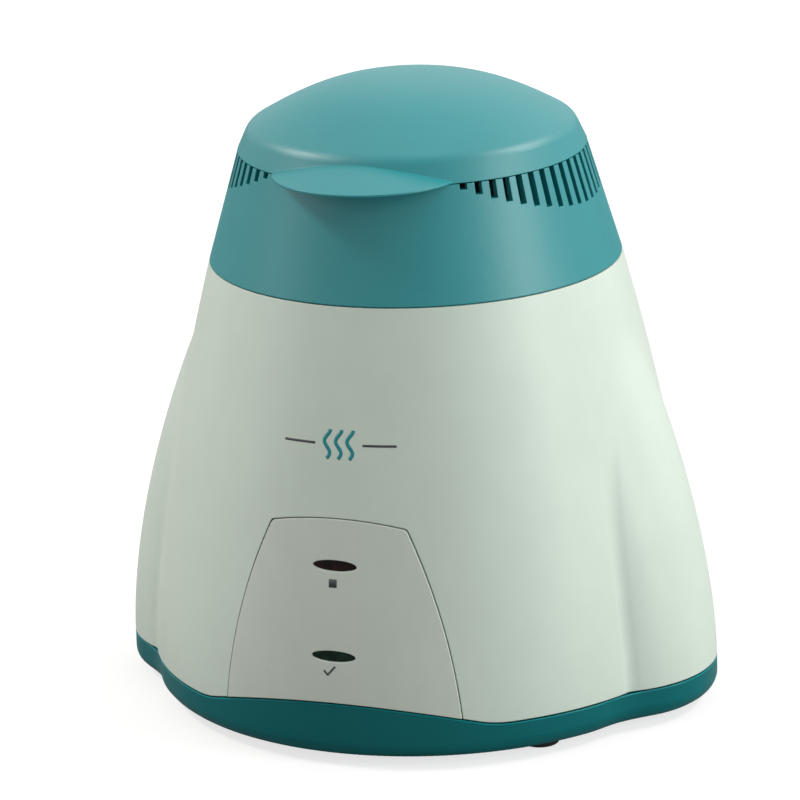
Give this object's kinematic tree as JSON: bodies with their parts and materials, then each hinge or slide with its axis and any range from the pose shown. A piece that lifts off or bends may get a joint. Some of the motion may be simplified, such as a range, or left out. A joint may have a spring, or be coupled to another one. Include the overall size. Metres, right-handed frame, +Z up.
{
  "type": "glass bead sterilizer",
  "caption": "Bench sterilizer with a bell-shaped plastic housing, side lobes, a slotted collar and a hinged lid over a heated well of glass beads.",
  "frame": {"origin": "centre of the object's plan, on the surface that its feet stand on", "axes": "+Z up, the front with the lamp windows faces -Y, the lid's hinge and the power inlet are at +Y"},
  "size_m": [0.1908, 0.172, 0.1944],
  "materials": {
    "housing_teal": "satin moulded plastic, blue green",
    "tray_teal": "satin moulded plastic, deep blue green",
    "housing_ivory": "satin moulded plastic, pale ivory",
    "stop_tint": "tinted clear plastic, dark red",
    "ok_tint": "tinted clear plastic, dark green",
    "lamp_red": "diffused lamp body, red",
    "lamp_green": "diffused lamp body, green",
    "circuit_board": "glass fibre board with solder resist",
    "foot_rubber": "moulded black rubber",
    "black_plastic": "black moulded plastic",
    "steel_bright": "brushed stainless steel",
    "steel_plated": "zinc plated steel",
    "can_aluminium": "mill finish aluminium sheet",
    "fibre": "pressed ceramic fibre",
    "beads": "small clear glass beads",
    "terminal_body": "moulded terminal block, green",
    "blade_brass": "plated brass blades"
  },
  "bodies": {
    "housing": {"base": "tray_teal", "body_shell": "housing_ivory", "front_panel": "housing_ivory", "stop_lens": "stop_tint", "ok_lens": "ok_tint", "stop_lamp": "lamp_red", "ok_lamp": "lamp_green", "lamp_board": "circuit_board", "collar": "housing_teal", "hinge_pin": "steel_bright", "well_deck": "steel_bright", "deck_screws": "steel_plated", "bead_well": "steel_bright", "glass_beads": "beads", "heater_band": "steel_plated", "band_clamp_screw": "steel_plated", "insulation_jacket": "fibre", "heat_shield": "can_aluminium", "thermostat": "black_plastic", "thermal_fuse": "steel_plated", "power_inlet": "black_plastic", "inlet_blades": "blade_brass", "switch_frame": "black_plastic", "control_board": "circuit_board", "terminal_block": "terminal_body", "board_screws": "steel_plated", "base_screws": "steel_plated", "foot_front_left": "foot_rubber", "foot_front_right": "foot_rubber", "foot_rear_left": "foot_rubber", "foot_rear_right": "foot_rubber"},
    "lid": {"lid": "housing_teal", "lid_liner": "steel_bright", "liner_screws": "steel_plated"},
    "rocker": {"switch_rocker": "black_plastic"}
  },
  "joints": [
    {"name": "lid_hinge", "type": "hinge", "parent": "housing", "child": "lid", "pos_m": [0, 0.06, 0.1723], "axis": [-1, 0, 0], "range_deg": [0, 100]},
    {"name": "power_rocker", "type": "hinge", "parent": "housing", "child": "rocker", "pos_m": [0.019, 0.0706, 0.043], "axis": [-1, 0, 0], "range_deg": [0, 22]}
  ]
}
